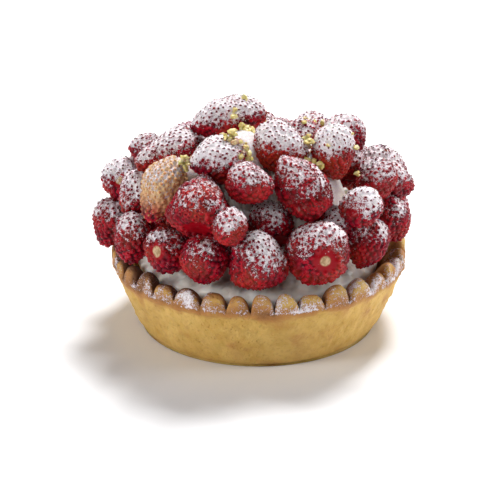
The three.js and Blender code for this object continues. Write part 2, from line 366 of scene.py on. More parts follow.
def berry_of(solid):
    """The poles of a turned solid are the two corners where the most faces meet. The stem end is the pole
    that the wide rings lie nearer to. Returns the middle, the direction of the tip, the length and the
    width."""
    mesh = solid.data
    mesh.calc_loop_triangles()
    corner = np.zeros(len(mesh.vertices) * 3, np.float32)
    mesh.vertices.foreach_get("co", corner)
    faces = np.zeros(len(mesh.loop_triangles) * 3, np.int32)
    mesh.loop_triangles.foreach_get("vertices", faces)
    places, index = np.unique(corner.reshape(-1, 3).round(6), axis=0, return_inverse=True)
    meets = np.bincount(index.ravel()[faces], minlength=len(places))
    a, b = places[np.argsort(meets)[-2:]]
    middle = (a + b) / 2
    length = np.linalg.norm(b - a)
    along = (places - middle) @ ((b - a) / length)
    across = np.linalg.norm((places - middle) - along[:, None] * ((b - a) / length), axis=1)
    wide = across > 0.3 * across.max()
    lean = (along[wide] * across[wide] ** 2).sum()
    tip, stem = (b, a) if lean < 0 else (a, b)
    return middle, (tip - stem) / length, length, 2 * across.max()


berries = {}
for name, solid in nodes.items():
    if name.startswith("berry"):
        berries[name] = (*berry_of(solid), OWN_SHOULDER.get(name, SHOULDER))
middles = np.array([b[0] for b in berries.values()])
halves = np.array([b[3] / 2 for b in berries.values()])
print("berries:", len(berries), "- longest in mm:", round(max(b[2] for b in berries.values()) / MM, 1))

# %% The shape of a bare berry
def berry_radius(share, shoulder=SHOULDER):
    """sin(pi share^shoulder)^FULLNESS, as a share of half the width; share runs from stem to tip."""
    return np.sin(np.pi * np.clip(share, 0, 1) ** shoulder) ** FULLNESS


def berry_surface(berry, share, turn):
    """Points of the berry's smooth body and their outward normals. The body is its outline turned about its
    axis: the radius is berry_radius(share) and the height runs evenly from stem to tip."""
    middle, axis, length, width, shoulder = berry
    side = np.cross(axis, (0.0, 0.0, 1.0) if abs(axis[2]) < 0.9 else (1.0, 0.0, 0.0))
    side /= np.linalg.norm(side)
    other = np.cross(axis, side)
    outward = np.cos(turn)[:, None] * side + np.sin(turn)[:, None] * other
    radius = width / 2 * berry_radius(share, shoulder)
    step = 1e-3
    widening = berry_radius(share + step, shoulder) - berry_radius(share - step, shoulder)
    slope = width / 2 * widening / (2 * step)
    normal = outward * length - axis * slope[:, None]
    normal /= np.linalg.norm(normal, axis=1, keepdims=True)
    points = middle + axis * ((share - 0.5) * length)[:, None] + outward * radius[:, None]
    return points, normal


print("widest at this share of the way from stem to tip:", round(0.5 ** (1 / SHOULDER), 2))

# %% Where the seeds of a berry sit
# The skin that each seed has to itself, as a share of the square of their spacing: what it is when they are
# packed like the cells of a honeycomb.
SKIN_OF_A_SEED = 0.87


def seed_places(berry, spacing, bare, seed):
    """Seeds in a spiral from stem to tip: each is turned by the golden angle from the one before, and their
    heights give every seed the same area of skin, give or take a little. Near the stem, those within `bare`
    of the axis are left out."""
    length, width = berry[2], berry[3]
    share = np.linspace(0.0, 1.0, 400)
    radius = width / 2 * berry_radius(share, berry[4])
    slant = np.hypot(np.diff(radius), np.diff(share) * length)
    area = np.concatenate([[0], np.cumsum(np.pi * (radius[1:] + radius[:-1]) * slant)])
    count = int(area[-1] / (SKIN_OF_A_SEED * spacing**2))
    rng = np.random.default_rng(seed)
    at = np.interp((np.arange(count) + 0.5 + rng.uniform(-0.9, 0.9, count)) / count, area / area[-1], share)
    turn = np.arange(count) * np.pi * (3 - math.sqrt(5)) + rng.uniform(-0.11, 0.11, count)
    keep = (at > 0.3) | (np.interp(at, share, radius) > bare)
    return at[keep], turn[keep]


first_seeds = seed_places(next(iter(berries.values())), 1.4 * MM, 0.0, 0)[0]
print("seeds on the first berry, at 1.4 mm from one another:", len(first_seeds))

# %% Where sugar falls
def shelter(points, skip):
    """How far other berries keep falling sugar off a point: near 1 straight below the middle of one, 0 in
    the open."""
    sheltered = np.zeros(len(points))
    for k, (middle, half) in enumerate(zip(middles, halves)):
        if k == skip:
            continue
        sideways = np.hypot(points[:, 0] - middle[0], points[:, 1] - middle[1]) / half
        above = (middle[2] - points[:, 2]) / half
        sheltered = np.maximum(sheltered, ease(1.25, 0.7, sideways) * ease(0.1, 0.9, above))
    return sheltered


def ease_down(low, high, x):
    """1 below low, 0 above high, and a smooth S between them."""
    return 1 - ease(low, high, x)


under_highest = middles[middles[:, 2].argmax()][None] - (0, 0, 10 * MM)
print("a point under the highest berry is sheltered by", shelter(under_highest, -1).round(2))

# %% [markdown]
# Some berries differ from the rest: one is unripe, a few show a pale scar or a bare collar where the stem
# came off, two have a crease across them, three are more orange underneath, and some caught more sugar or
# less. These are listed by name, and every other berry takes the usual values.

# %% What differs from berry to berry
UNRIPE = {"berry_shoulder_04"}
# Widths of the scar and of the bare collar are in millimetres. A crease has its place from stem to tip, as
# a share, and its depth in millimetres.
SCAR_WIDTH = {"berry_rim_03": 3.2, "berry_rim_06": 3.0, "berry_shoulder_01": 2.8}
BARE_COLLAR = {
    "berry_shoulder_05": 7,
    "berry_shoulder_08": 6,
    "berry_shoulder_10": 5.5,
    "berry_rim_06": 6.5,
    "berry_shoulder_07": 4,
}
EXTRA_SUGAR = {
    "berry_crown_01": 0.2,
    "berry_crown_02": 0.3,
    "berry_rim_04": -0.1,
    "berry_rim_05": 0.2,
    "berry_rim_06": -0.03,
    "berry_rim_07": 0.3,
    "berry_shoulder_01": 0.4,
    "berry_shoulder_02": 0.1,
    "berry_shoulder_04": -0.1,
    "berry_shoulder_05": -0.24,
    "berry_shoulder_07": 0.2,
    "berry_shoulder_08": -0.12,
    "berry_shoulder_09": 0.1,
    "berry_shoulder_10": 0.35,
    "berry_shoulder_12": 0.1,
    "berry_shoulder_13": 0.2,
    "berry_upper_02": 0.1,
    "berry_upper_04": 0.3,
    "berry_upper_06": 0.6,
    "berry_upper_07": 0.15,
}
CREASE = {"berry_shoulder_08": (0.3, 0.9), "berry_shoulder_13": (0.4, 0.4)}
WARMTH = {"berry_crown_02": 0.55, "berry_shoulder_13": 0.35, "berry_upper_06": 0.3}
ROWS = 74
COLUMNS = 122
# BEAD is the radius of the bead under each seed. How high it stands, and how deep the stem's dent is, are in
# millimetres, as a crease's depth is. SEED_HEIGHT is how far a seed's middle stands off the smooth skin.
SEED_SPACING = 1.42 * MM
BEAD = 0.74 * MM
BEAD_HEIGHT = 0.54
SEED_HEIGHT = 0.43 * MM
STEM_DENT = 0.45
special = set(SCAR_WIDTH) | set(BARE_COLLAR) | set(EXTRA_SUGAR) | set(WARMTH) | UNRIPE
print("berries with something of their own:", len(special))

# %% The skin of one berry
def lumps(points, seed):
    """How far the skin is swollen or sunk at each point: broad swellings 9 mm across and smaller ones 4 mm
    across."""
    return 0.42 * MM * ripples(points, 9 * MM, seed) + 0.14 * MM * ripples(points, 4 * MM, seed + 60)


def berry_skin_points(name, berry, number):
    """The smooth body, moved along its normals: by soft lumps, by a round bead under each seed, whose
    height falls off as the square root of 1 - (distance / BEAD)^2, and inwards at the stem and along a
    crease. Sugar grows with how far the skin faces up and with how open the sky is, drifts a little, and
    leaves the tips of the beads bare. Returns the points, the fields, the normals and the seeds."""
    length, width = berry[2], berry[3]
    share = np.linspace(0, 1, 500)
    slant = np.hypot(np.diff(share) * length, np.diff(berry_radius(share, berry[4])) * width / 2)
    arc = np.concatenate([[0], np.cumsum(slant)])
    rings = np.interp((np.arange(ROWS) + 0.7) / (ROWS + 0.4) * arc[-1], arc, share)
    at = np.concatenate([np.repeat(rings, COLUMNS), [0.0, 1.0]])
    turn = np.concatenate([np.tile(np.arange(COLUMNS) / COLUMNS * 2 * np.pi, ROWS), [0.0, 0.0]])
    points, normal = berry_surface(berry, at, turn)
    normal[-2] = -berry[1]
    normal[-1] = berry[1]

    bare = BARE_COLLAR.get(name, 1.5 * SCAR_WIDTH.get(name, 1.4)) / 2 * MM
    seed_share, seed_turn = seed_places(berry, SEED_SPACING, bare, number)
    seeds, seed_normal = berry_surface(berry, seed_share, seed_turn)
    apart = ((points[:, None] - seeds[None]) ** 2).sum(-1)
    gap = np.sqrt(apart.min(1))
    dusty = np.random.default_rng(number + 300).normal(0, 1, len(seeds))[apart.argmin(1)]
    bead = np.sqrt(np.clip(1 - (gap / BEAD) ** 2, 0, 1))

    from_stem = np.linalg.norm(points - (berry[0] - berry[1] * length / 2), axis=1)
    scar_radius = SCAR_WIDTH.get(name, 0.0) / 2 * MM
    dent = ease_down(0.4 * bare, 1.1 * bare, from_stem)
    seeds = seeds + seed_normal * (lumps(seeds, number) + SEED_HEIGHT)[:, None]
    where, deep = CREASE.get(name, (0.5, 0.0))
    crease = deep * np.exp(-(((at - where - 0.05 * np.sin(turn)) / 0.05) ** 2))
    raised = MM * (BEAD_HEIGHT * bead - STEM_DENT * dent - crease)
    points = points + normal * (lumps(points, number) + raised)[:, None]

    open_sky = 1 - shelter(points, number)
    facing = ease(-0.4, 0.85, normal[:, 2] - 0.12 * normal[:, 1])
    drift = 0.13 * ripples(points, 4.5 * MM, number + 90) + 0.1 * ripples(points, 1.5 * MM, number + 95)
    extra = EXTRA_SUGAR.get(name, 0.0)
    powder = (0.01 + 0.3 * extra + (0.8 + 0.7 * extra) * facing) * (0.55 + 0.45 * open_sky) + drift
    powder += (0.22 * (0.5 - bead) - (0.26 + 0.1 * dusty) * ease(0.86, 1.0, bead)) * ease(0.0, 0.3, powder)
    shows_stem_end = name in BARE_COLLAR or name in SCAR_WIDTH
    powder -= 0.5 * ease_down(bare, bare * 1.35, from_stem) * shows_stem_end
    scar = ease_down(0.8 * scar_radius, scar_radius, from_stem) if scar_radius else np.zeros(len(points))
    underneath = WARMTH.get(name, 0.0) * ease_down(-0.6, 0.5, normal[:, 2])
    fields = {
        "powder": np.clip(powder, 0, 1),
        "bead": bead,
        "scar": scar,
        "warmth": np.clip(0.12 + 0.15 * ripples(points, 9 * MM, number + 40) + underneath, 0, 1),
        # Painted shade for the dent round the stem; the finish darkens the bare ring by it.
        "collar_shade": ease_down(0.85 * bare, 1.15 * bare, from_stem) * shows_stem_end,
        "paleness": ease_down(0.6, 0.97, at) * (name in UNRIPE),
    }
    return points, fields, normal, (seeds, seed_normal)


print("points in the skin of each berry:", ROWS * COLUMNS + 2)

# %% Every berry
quads, fans = ring_faces(ROWS, COLUMNS)
heap_points = []
heap_normals = []
heap_powder = []
all_seeds = []
for number, (name, berry) in enumerate(berries.items()):
    points, fields, normal, seeds = berry_skin_points(name, berry, number)
    piece = make_piece("strawberry_" + name.removeprefix("berry_"), points, quads, fans, ripe_skin, fields)
    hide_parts(name)
    heap_points.append(points)
    heap_normals.append(normal)
    heap_powder.append(fields["powder"])
    all_seeds.append((name, berry, seeds))
print("berries made:", len(berries), "- triangles in each:", len(quads) * 2 + len(fans))

# %% [markdown]
# ## The seeds
# What look like seeds on a strawberry are its small dry fruits. On a wild strawberry they stand proud of
# the skin. Bumps in the finish of the skin would be lighter, but would leave its outline smooth. There are
# thousands of seeds, so each one is only a lens of twelve faces, and they are joined in one piece.

# %% Small shapes
def icosahedron():
    """12 corners, the even turns of (0, 1, golden ratio) scaled to length 1, and the 20 faces of their
    hull."""
    g = (1 + math.sqrt(5)) / 2
    corners = np.array([
        (-1, g, 0), (1, g, 0), (-1, -g, 0), (1, -g, 0), (0, -1, g), (0, 1, g),
        (0, -1, -g), (0, 1, -g), (g, 0, -1), (g, 0, 1), (-g, 0, -1), (-g, 0, 1),
    ])
    faces = np.array([
        (0, 11, 5), (0, 5, 1), (0, 1, 7), (0, 7, 10), (0, 10, 11),
        (1, 5, 9), (5, 11, 4), (11, 10, 2), (10, 7, 6), (7, 1, 8),
        (3, 9, 4), (3, 4, 2), (3, 2, 6), (3, 6, 8), (3, 8, 9),
        (4, 9, 5), (2, 4, 11), (6, 2, 10), (8, 6, 7), (9, 8, 1),
    ])
    return corners / np.linalg.norm(corners[0]), faces


def lens():
    """A ring of 6 corners with one above its middle and one below, and the 12 faces between them."""
    turn = np.arange(6) * np.pi / 3
    ring = np.stack([np.cos(turn), np.sin(turn), np.zeros(6)], 1)
    here = np.arange(6)
    after = (here + 1) % 6
    upper = np.stack([here, after, np.full(6, 6)], 1)
    lower = np.stack([after, here, np.full(6, 7)], 1)
    return np.concatenate([ring, [(0, 0, 1), (0, 0, -1)]]), np.concatenate([upper, lower])


print("faces of the icosahedron and of the lens:", len(icosahedron()[1]), len(lens()[1]))

# %% Copies of a small shape
def scatter(shape, faces, places, turns, sizes, wobble=0.0, seed=0):
    """Copies of a shape: each corner is stretched by sizes, turned by a 3x3 matrix and carried to its
    place. Wobble moves every corner in or out by a random share. Returns the points and the triangles of
    all the copies."""
    rng = np.random.default_rng(seed)
    corners = shape[None] * rng.uniform(1 - wobble, 1 + wobble, (len(places), len(shape), 1))
    points = np.einsum("nij,nkj->nki", turns, corners * sizes[:, None]) + places[:, None]
    triangles = faces[None] + np.arange(len(places))[:, None, None] * len(shape)
    return points.reshape(-1, 3), triangles.reshape(-1, 3)


def upright(normal, along):
    """Turning matrices whose third column is the normal and whose first lies as near as it can to
    `along`."""
    first = along - normal * (along * normal).sum(1, keepdims=True)
    first /= np.linalg.norm(first, axis=1, keepdims=True) + 1e-12
    return np.stack([first, np.cross(normal, first), normal], 2)


upward_normal = np.array([[0.0, 0.0, 1.0]])
rightward = np.array([[1.0, 0.0, 0.0]])
print("an upward normal turns nothing:", np.allclose(upright(upward_normal, rightward)[0], np.eye(3)))

# %% Finish of the seeds
seed_finish, tree, shader = new_finish(
    "strawberry seed",
    Subsurface_Weight=0.1,
    Subsurface_Scale=0.5 * MM,
    Coat_Roughness=0.1,
    Specular_IOR_Level=0.2,
)
tone = field(tree, "tone")
seed_red = blend_colours(tree, tone, (0.11, 0.003, 0.010, 1), (0.50, 0.005, 0.016, 1))
seed_pale = blend_colours(tree, field(tree, "paleness"), seed_red, (0.52, 0.22, 0.09, 1))
cover, sugar = sugared(tree, field(tree, "powder"))
tree.links.new(blend_colours(tree, cover, seed_pale, sugar), shader.inputs["Base Color"])
tree.links.new(stretch(tree, cover, 0, 1, 0.22, 0.9), shader.inputs["Roughness"])
tree.links.new(stretch(tree, cover, 0, 1, 0.15, 0.0), shader.inputs["Coat Weight"])
raise_surface(tree, shader, cover, 0.05 * MM)
print("nodes in the finish of the seeds:", len(tree.nodes))

# %% Seeds
# Half the length, half the width and half the height of a seed, in millimetres.
SEED_SIZE = (0.44, 0.36, 0.26)
places = np.concatenate([s[0] for _, _, s in all_seeds])
normals = np.concatenate([s[1] for _, _, s in all_seeds])
along = np.concatenate([np.tile(b[1], (len(s[0]), 1)) for _, b, s in all_seeds])
rng = np.random.default_rng(5)
sizes = np.array(SEED_SIZE) * MM * rng.uniform(0.85, 1.15, (len(places), 1))
lentil, lentil_faces = lens()
points, triangles = scatter(lentil, lentil_faces, places, upright(normals, along), sizes)
sheltered = np.concatenate([shelter(s[0], k) for k, (_, _, s) in enumerate(all_seeds)])
pale_share = np.concatenate([np.full(len(s[0]), float(n in UNRIPE)) for n, _, s in all_seeds])
dusted = ease(0.3, 1.0, normals[:, 2]) * (1 - 0.6 * sheltered) * 0.4 + rng.normal(0, 0.1, len(places))
fields = {
    "tone": rng.uniform(0, 1, len(places)) * ease(0.7, -0.2, normals[:, 2]),
    "powder": np.clip(dusted, 0, 1),
    "paleness": pale_share,
}
seed_fields = {k: np.repeat(v, len(lentil)) for k, v in fields.items()}
make_piece("strawberry_seeds", points, np.zeros((0, 4), int), triangles, seed_finish, seed_fields)
print("seeds:", len(places), "- triangles:", len(triangles))

# %% [markdown]
# ## The cream
# The mound of whipped cream is what the berries stand in. Most of it is hidden, and it shows as smooth,
# soft, cool white between the berries and along the rim. It could be sculpted by hand, but a turned
# outline is a few numbers that are easy to change. The turned shape is lifted a little at the front, where
# the heap is high, and four spoonfuls are heaped on it. It sinks where the berries leave no sky above it.
# Close to the berries it is stained with their juice, and where they hide the sky it is darkened with
# painted shade in the same brownish red.

# %% The shape of the cream
# Radius and height along the outline, in millimetres.
MOUND = [
    (0, 4.8), (28.5, 4.8), (31.5, 14.3), (32.5, 18.4), (31.4, 20.4), (29, 24),
    (26.8, 30), (23.6, 36), (18.6, 41.5), (11.5, 46.6), (5, 48.6), (0, 49),
]
# Azimuth in degrees, distance from the middle, height and radius in millimetres.
DOLLOPS = [(64, 20, 42.5, 9), (-58, 20, 41, 8.5), (-25, 10.5, 47.2, 8.6), (51, 15, 44.5, 8)]
RIM_HEIGHT = 18.4


def around(azimuth, radius, height):
    """A point by its azimuth in radians, 0 at the front and a quarter turn at the right, its radius and its
    height."""
    across = radius * np.sin(azimuth)
    backward = -radius * np.cos(azimuth)
    return np.stack([across, backward, height * np.ones_like(azimuth)], -1)


def cream_points(rows, columns):
    """The mound's outline turned about the middle. Above the rim it widens by 0.5% a millimetre and rises
    by 0.14 x height above the rim x (-y / 30.5). Points inside a dollop move out to its surface."""
    profile = smooth_path(MOUND, rows + 2)
    azimuth = np.concatenate([np.tile(np.arange(columns) / columns * 2 * np.pi, rows), [0.0, 0.0]])
    radius = np.concatenate([np.repeat(profile[1:-1, 0], columns), [0.0, 0.0]])
    height = np.concatenate([np.repeat(profile[1:-1, 1], columns), [MOUND[0][1], MOUND[-1][1]]])
    points = around(azimuth, radius, height)
    above = np.maximum(0, points[:, 2] - RIM_HEIGHT)
    points[:, 0] *= 1 + 0.005 * above
    points[:, 2] += 0.14 * above * -points[:, 1] / 30.5
    for degrees, reach, lift, size in DOLLOPS:
        middle = around(np.radians([degrees]), reach, lift)
        offset = points - middle
        far = np.linalg.norm(offset, axis=1, keepdims=True)
        points = middle + offset * np.maximum(1, size / np.maximum(far, 1e-6))
    soft = ease(15, 19, points[:, 2])[:, None]
    return (points + soft * 0.35 * ripples(points, 7, 3)[:, None] * np.array([0.5, 0.5, 1.0])) * MM


print("top of the cream in mm:", round(cream_points(40, 40)[:, 2].max() / MM, 1))

# %% How much sky the berries hide
SKY_DIRECTIONS = 20


def hidden_share(points):
    """The share of the sky that berries hide from each point: of 20 directions, spread evenly over the
    upper half, those whose line passes a berry's middle closer than half its width."""
    lift = (np.arange(SKY_DIRECTIONS) + 0.5) / SKY_DIRECTIONS
    turn = np.arange(SKY_DIRECTIONS) * np.pi * (3 - math.sqrt(5))
    flat = np.sqrt(1 - lift**2)
    to_middle = middles[None] - points[:, None]
    squared = (to_middle**2).sum(-1)
    hidden = np.zeros(len(points))
    for ray in np.stack([flat * np.cos(turn), flat * np.sin(turn), lift], 1):
        along = to_middle @ ray
        hidden += ((squared - along**2 < halves**2) & (along > 0)).any(1)
    return hidden / SKY_DIRECTIONS


def nearest_berry(points):
    """How far each point is outside the nearest berry, by its middle and half its width, in metres."""
    return (np.linalg.norm(points[:, None] - middles[None], axis=2) - halves[None]).min(1)


print("share of the sky that is hidden from under the highest berry:", hidden_share(under_highest).round(2))

# %% Finish of the cream
cream_finish, tree, shader = new_finish(
    "whipped cream", Roughness=0.5, Subsurface_Weight=0.5, Subsurface_Scale=2.5 * MM, Coat_Roughness=0.3
)
shader.inputs["Subsurface Radius"].default_value = (1.0, 0.8, 0.6)
curdle = stretch(tree, grain(tree, 5 * MM, 3.0), 0.35, 0.65)
white = blend_colours(tree, curdle, (0.84, 0.77, 0.69, 1), (0.91, 0.88, 0.82, 1))
streaks = stretch(tree, grain(tree, 2.2 * MM, 3.0), 0.3, 0.6, 0.5, 1.0)
# One field for the juice stain near the berries and the painted shade where they hide the sky.
juice_and_shade = arithmetic(tree, "MULTIPLY", field(tree, "juice_and_shade"), streaks, True)
stained_and_shaded = blend_colours(tree, juice_and_shade, white, (0.30, 0.11, 0.09, 1))
cover, sugar = sugared(tree, field(tree, "powder"))
tree.links.new(blend_colours(tree, cover, stained_and_shaded, sugar), shader.inputs["Base Color"])
tree.links.new(stretch(tree, cover, 0, 1, 0.38, 0.9), shader.inputs["Roughness"])
raise_surface(tree, shader, arithmetic(tree, "ADD", cover, grain(tree, 2.5 * MM, 4.0, 0.6)), 0.12 * MM)
print("nodes in the finish of the cream:", len(tree.nodes))

# %% Cream
CREAM_ROWS = 150
CREAM_COLUMNS = 300
points = cream_points(CREAM_ROWS, CREAM_COLUMNS)
quads, fans = ring_faces(CREAM_ROWS, CREAM_COLUMNS)
shade = hidden_share(points)
sunk = ease(0.5, 0.85, shade) * ease(17 * MM, 21 * MM, points[:, 2])
points -= (points - [0.0, 0.0, 12 * MM]) * 0.13 * sunk[:, None]
closeness = nearest_berry(points)
upward = np.clip((points[:, 2] / MM - 16) / 30, 0, 1)
# Juice stain within a few millimetres of a berry, plus painted shade where berries hide most of the sky.
juice_and_shade_share = 0.25 * ease_down(-0.5 * MM, 2.5 * MM, closeness) + 0.55 * ease(0.55, 0.95, shade)
dusted = (0.5 + 0.3 * upward) * (1 - 0.8 * shelter(points, -1)) + 0.2 * ripples(points, 5 * MM, 8)
fields = {"juice_and_shade": np.clip(juice_and_shade_share, 0, 1), "powder": np.clip(dusted, 0, 1)}
cream = make_piece("whipped_cream", points, quads, fans, cream_finish, fields)
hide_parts("cream_filling")
heap_points.append(points)
heap_normals.append(np.tile([0.0, 0.0, 1.0], (len(points), 1)))
heap_powder.append(np.zeros(len(points)))
print("cream triangles:", len(quads) * 2 + len(fans))

# %% [markdown]
# ## The shortcrust shell
# The dough was pressed in a plain round tin and its rim crimped into ridges that run outwards like the ribs
# of a shell. The rim is browner than the golden wall: the inner sides of the ridges, their grooves and the
# line under the rim are darkened partly by baking and partly by painted shade, and the inner sides most at
# the left front. One ridge could be modelled and copied 36 times, but then all would be alike. Here two
# profiles are turned about the middle, one through a groove and one along the top of a ridge, and each
# ridge rises between them with its own width, height and lean.

# %% The shape of the shell
RIDGES = 36
FIRST_RIDGE = math.radians(-3.6)
# How far the top of a usual ridge stands above the groove's profile, and how thick the bottom is, in
# millimetres.
LIFT = 4.7
FLOOR_THICKNESS = 4.5
# Radius and height in a groove, in millimetres, then the ridge's share of the lift, and its reach in
# millimetres.
SHELL = [
    (0, 0, 0, 0), (29.6, 0, 0, 0), (30.8, 0.15, 0, 0), (32.0, 0.8, 0, 0), (32.9, 2.0, 0, 0),
    (34.0, 4.4, 0, 0), (35.8, 8.7, 0, 0), (37.7, 13.3, 0, 0), (38.5, 15.5, 0, 0), (38.7, 16.3, 0, 0),
    (39.3, 16.7, 0, 0), (39.6, 17.3, 0, 0), (39.6, 18.0, 0.03, 0.1), (39.6, 18.4, 0.28, 0.3),
    (39.4, 18.5, 0.56, 0.3), (39.0, 18.45, 0.8, 0.2), (38.3, 18.2, 0.96, 0.1), (37.3, 17.9, 1, 0),
    (36.1, 17.4, 0.92, 0), (34.9, 16.8, 0.72, 0), (33.7, 15.7, 0.38, 0), (32.9, 14.4, 0.1, 0),
    (32.2, 12.5, 0, 0), (29, FLOOR_THICKNESS, 0, 0), (0, FLOOR_THICKNESS, 0, 0),
]


def shell_points(rows, columns):
    """The groove's profile plus the ridge's share of rise and reach. Along each ridge's width u, from 0 to
    1, the share is (1 - |(2u - 1) / breadth|^flatness)^0.5, an arch with steep sides and a narrow groove
    beside it, which sinks by up to 0.5 mm. Every ridge has its own breadth, flatness, height and lean, and
    the ridges bunch and slant a little as they go round."""
    profile = smooth_path(SHELL, rows + 2)
    azimuth = np.tile(np.arange(columns) / columns * 2 * np.pi, rows)
    radius, height, rise, reach = (np.repeat(profile[1:-1, k], columns) for k in range(4))
    rng = np.random.default_rng(11)
    turned = (azimuth - FIRST_RIDGE) / (2 * np.pi) * RIDGES
    turned = turned + 0.12 * np.sin(azimuth * 5) + 0.16 * (radius - 36) / 4 * np.sin(azimuth)
    ridge = np.floor(turned).astype(int) % RIDGES
    u = turned - np.floor(turned)
    breadth = rng.uniform(0.94, 1.04, RIDGES)[ridge]
    flatness = rng.uniform(2.0, 3.4, RIDGES)[ridge]
    arch = np.clip(1 - np.abs((2 * u - 1) / breadth) ** flatness, 0, 1) ** 0.5
    vigour = 0.98 + 0.13 * np.sin(2.3 * ridge) + 0.08 * np.sin(5.1 * ridge)
    pinch = rng.uniform(-0.3, 0.3, RIDGES)[ridge] * (u - 0.5)
    lift = LIFT * rise * arch * (vigour + pinch) - 0.5 * rise * (1 - arch)
    points = around(azimuth, radius + reach * arch * vigour, height + lift)
    points = np.concatenate([points, [(0, 0, 0), (0, 0, FLOOR_THICKNESS)]])
    along = np.concatenate([arch * np.clip(rise * 1.2, 0, 1), [0.0, 0.0]])
    rough = ease(0.3, 3, points[:, 2])
    uneven = 0.16 * ripples(points, 3.5, 21) + 0.1 * ripples(points, 1.4, 22)
    uneven = uneven + 0.25 * ripples(points, 14, 23)
    push = rough * uneven
    distance = np.hypot(points[:, 0], points[:, 1]) + 1e-6
    outside = ease(30, 31, distance)
    points[:, :2] += points[:, :2] / distance[:, None] * (push * outside)[:, None]
    points[:, 2] += 0.5 * push * outside * ease(14, 17, points[:, 2])
    return points * MM, along


print("top of the ridges in mm:", round(shell_points(60, 720)[0][:, 2].max() / MM, 1))

# %% Finish of the crust
crust_finish, tree, shader = new_finish(
    "baked shortcrust", Subsurface_Weight=0.12, Subsurface_Scale=1.5 * MM
)
mottle = stretch(tree, grain(tree, 6 * MM, 4.0, 0.6), 0.3, 0.7)
dough = blend_colours(tree, mottle, (0.575, 0.34, 0.068, 1), (0.70, 0.455, 0.125, 1))
speck = stretch(tree, grain(tree, 1.1 * MM, 3.0, 0.6), 0.52, 0.66)
flecked = blend_colours(tree, arithmetic(tree, "MULTIPLY", speck, 0.25), dough, (0.40, 0.19, 0.06, 1))
patchy = arithmetic(tree, "MULTIPLY", arithmetic(tree, "SUBTRACT", grain(tree, 2.6 * MM, 3.0), 0.5), 0.5)
# The browning field is partly baking and partly painted shade.
baked = arithmetic(tree, "ADD", field(tree, "browning_and_shade"), patchy, True)
golden = blend_colours(tree, stretch(tree, baked, 0.0, 0.5), flecked, (0.44, 0.19, 0.045, 1))
browned_and_shaded = blend_colours(tree, stretch(tree, baked, 0.4, 1.0), golden, (0.13, 0.045, 0.012, 1))
cover, sugar = sugared(tree, field(tree, "powder"))
tree.links.new(blend_colours(tree, cover, browned_and_shaded, sugar), shader.inputs["Base Color"])
tree.links.new(stretch(tree, cover, 0, 1, 0.68, 0.92), shader.inputs["Roughness"])
place = node(tree, "ShaderNodeTexCoord").outputs["Object"]
pores = node(tree, "ShaderNodeTexVoronoi", {"Vector": place, "Scale": 1 / (1.3 * MM), "Randomness": 1.0})
pitted = stretch(tree, pores.outputs["Distance"], 0.1, 0.32)
sandy = arithmetic(tree, "MULTIPLY", grain(tree, 0.7 * MM, 4.0, 0.65), 1.6)
crumbly = arithmetic(tree, "ADD", pitted, sandy)
raise_surface(tree, shader, arithmetic(tree, "ADD", crumbly, cover), 0.16 * MM)
print("nodes in the finish of the crust:", len(tree.nodes))

# %% Shell
SHELL_ROWS = 118
SHELL_COLUMNS = 720
points, ridge_share = shell_points(SHELL_ROWS, SHELL_COLUMNS)
quads, fans = ring_faces(SHELL_ROWS, SHELL_COLUMNS)
height = points[:, 2] / MM
reach = np.hypot(points[:, 0], points[:, 1]) / MM
rim = ease(17.2, 18.4, height)
# Browning from baking mixed with painted shade: under the rim's lip, in the grooves, and on the inner sides
# of the ridges, most at the left front.
under_ridges = np.exp(-(((height - 17.3) / 1.2) ** 2)) * (reach > 35)
leftward = ease(-5, -22, points[:, 0] / MM) * ease(4, -4, points[:, 1] / MM)
inner_side = ease(39.7 - 0.2 * (1 - leftward), 38.6 - 0.8 * (1 - leftward), reach)
toasted_and_shaded = inner_side * (0.35 + 0.65 * leftward) + 0.4 * (1 - ridge_share)
browning_and_shade = 0.3 * under_ridges + rim * toasted_and_shaded + 0.16 * ripples(points, 9 * MM, 31) + 0.05
settled = 0.64 + 0.3 * ripples(points, 5 * MM, 33) + 0.1 * ease(14, 4, np.abs(points[:, 0] / MM))
settled = settled - 0.35 * leftward * inner_side
powder = rim * settled * (1 - 0.5 * shelter(points, -1))
fields = {"browning_and_shade": np.clip(browning_and_shade, 0, 1), "powder": np.clip(powder, 0, 1)}
crust = make_piece("shortcrust_shell", points, quads, fans, crust_finish, fields)
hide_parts("crust_shell")
heap_points.append(points)
heap_normals.append(np.tile([0.0, 0.0, 1.0], (len(points), 1)))
heap_powder.append(np.zeros(len(points)))
print("shell triangles:", len(quads) * 2 + len(fans))

# %% [markdown]
# ## Chopped pistachios
# The nuts were sprinkled last and rolled into the hollows between the berries. A physics simulation could
# drop them one by one. A height map of the heap, the highest point in each square of about half a
# millimetre, is quicker: each crumb drops straight down and comes to rest on what is under it.

# %% A height map of the heap
CELL = 0.55 * MM
HALF_SPAN = 46 * MM
cells = int(2 * HALF_SPAN / CELL)
everything = np.concatenate(heap_points)
column = ((everything[:, :2] + HALF_SPAN) / CELL).astype(int)
height_map = np.zeros((cells, cells))
np.maximum.at(height_map, (column[:, 0], column[:, 1]), everything[:, 2])


def neighbours(heights):
    """The 25 copies of the height map that are shifted by up to two squares each way."""
    return [np.roll(heights, (i, j), (0, 1)) for i in range(-2, 3) for j in range(-2, 3)]


# The highest neighbour fills a hole that no point fell in, and the lowest of those shrinks the outlines
# back.
height_map = np.min(neighbours(np.max(neighbours(height_map), axis=0)), axis=0)
ring = [(6, 0), (-6, 0), (0, 6), (0, -6), (4, 4), (4, -4), (-4, 4), (-4, -4)]
ring_mean = sum(np.roll(height_map, shift, (0, 1)) for shift in ring) / len(ring)
hollow = ring_mean - height_map
print("deepest hollow in the heap in mm:", round(hollow[height_map > 0.02].max() / MM, 1))


def drop(places):
    """The height of the heap under each place, and how far it lies below the heap round it, in metres."""
    at = ((places + HALF_SPAN) / CELL).astype(int)
    return height_map[at[:, 0], at[:, 1]], hollow[at[:, 0], at[:, 1]]


